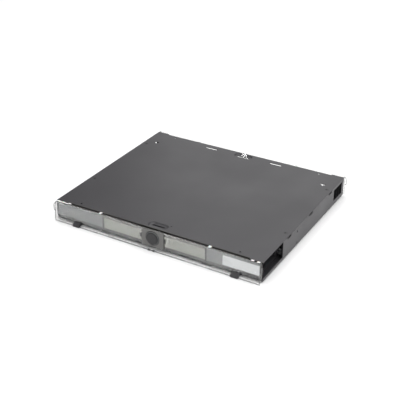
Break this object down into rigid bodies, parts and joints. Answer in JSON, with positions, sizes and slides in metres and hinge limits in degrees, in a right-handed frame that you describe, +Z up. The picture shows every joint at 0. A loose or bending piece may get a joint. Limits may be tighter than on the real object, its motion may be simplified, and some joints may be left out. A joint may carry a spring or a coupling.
{
  "type": "fiber termination box",
  "caption": "Rack-mount fiber termination box with clear drop-down front and rear doors, a turn latch and a sliding tray of adapter panels.",
  "frame": {"origin": "centre of the outline, on the face that the box stands on", "axes": "+X along the width to the right as seen from the front, -Y out of the front door, +Z up"},
  "size_m": [0.4392, 0.3778, 0.0441],
  "materials": {
    "powder_coat": "satin black powder coat",
    "zinc_steel": "zinc plated, satin",
    "clear_polycarbonate": "clear moulded, glossy",
    "black_plastic": "fine moulded texture",
    "black_rubber": "matt",
    "backing_plastic": "matt grey",
    "housing_plastic": "smoke grey, satin",
    "label_grey": "matt printed film",
    "label_white": "matt write-on film",
    "card_beige": "matt card",
    "adapter_plastic": "aqua, moulded",
    "cap_plastic": "natural white",
    "splice_plastic": "grey, moulded"
  },
  "bodies": {
    "chassis": {"base_pan": "powder_coat", "top_cover": "powder_coat", "cover_screws": "black_plastic", "slide_outer_left": "zinc_steel", "slide_outer_right": "zinc_steel", "edge_trims": "black_rubber", "rear_grommet_left": "black_rubber", "rear_grommet_right": "black_rubber", "rear_hinge_clips": "black_plastic", "cable_tie_bar": "zinc_steel", "ground_stud": "zinc_steel", "ground_nut": "zinc_steel", "latch_cheeks": "zinc_steel", "latch_pin": "zinc_steel"},
    "tray": {"tray_floor": "powder_coat", "slide_inner_left": "zinc_steel", "slide_inner_right": "zinc_steel", "adapter_bulkhead": "powder_coat", "adapter_panel_left": "powder_coat", "adapter_panel_center": "powder_coat", "adapter_panel_right": "powder_coat", "adapters_left": "adapter_plastic", "adapters_center": "adapter_plastic", "adapters_right": "adapter_plastic", "front_dust_caps": "cap_plastic", "rear_dust_caps": "cap_plastic", "panel_screws": "zinc_steel", "slack_spool_left": "black_plastic", "slack_spool_right": "black_plastic", "cable_guide_left": "black_plastic", "cable_guide_right": "black_plastic", "cable_clips": "black_plastic", "splice_tray": "splice_plastic", "splice_holder": "black_rubber", "splice_cover": "clear_polycarbonate", "splice_stud": "zinc_steel", "splice_nut": "black_plastic", "front_hinge_clips": "black_plastic"},
    "front_door": {"front_door": "clear_polycarbonate", "door_stops": "black_plastic", "label_carrier": "backing_plastic", "label_left": "label_grey", "label_right": "label_grey", "write_on_label": "label_white", "name_card_left": "card_beige", "name_card_right": "card_beige", "card_clips": "black_plastic", "latch_housing": "housing_plastic", "knob_bezel": "black_plastic"},
    "front_knob": {"latch_knob": "black_plastic", "knob_spindle": "zinc_steel", "latch_cam": "zinc_steel", "cam_screw": "zinc_steel"},
    "rear_door": {"rear_door": "clear_polycarbonate", "rear_keeper": "clear_polycarbonate"},
    "rear_latch": {"rear_latch": "clear_polycarbonate"}
  },
  "joints": [
    {"name": "tray_slide", "type": "slide", "parent": "chassis", "child": "tray", "axis": [0, -1, 0], "range_m": [0, 0.16]},
    {"name": "front_door_hinge", "type": "hinge", "parent": "tray", "child": "front_door", "pos_m": [0, -0.1868, 0.0018], "axis": [1, 0, 0], "range_deg": [0, 90]},
    {"name": "front_knob_turn", "type": "hinge", "parent": "front_door", "child": "front_knob", "pos_m": [0, -0.1831, 0.0246], "axis": [0, -1, 0], "range_deg": [0, 90]},
    {"name": "rear_door_hinge", "type": "hinge", "parent": "chassis", "child": "rear_door", "pos_m": [0, 0.1868, 0.0018], "axis": [-1, 0, 0], "range_deg": [0, 90]},
    {"name": "rear_latch_press", "type": "hinge", "parent": "chassis", "child": "rear_latch", "pos_m": [0, 0.1573, 0.0335], "axis": [-1, 0, 0], "range_deg": [0, 6], "stiffness_Nm_per_rad": 0.05, "springref_deg": -17.19}
  ]
}
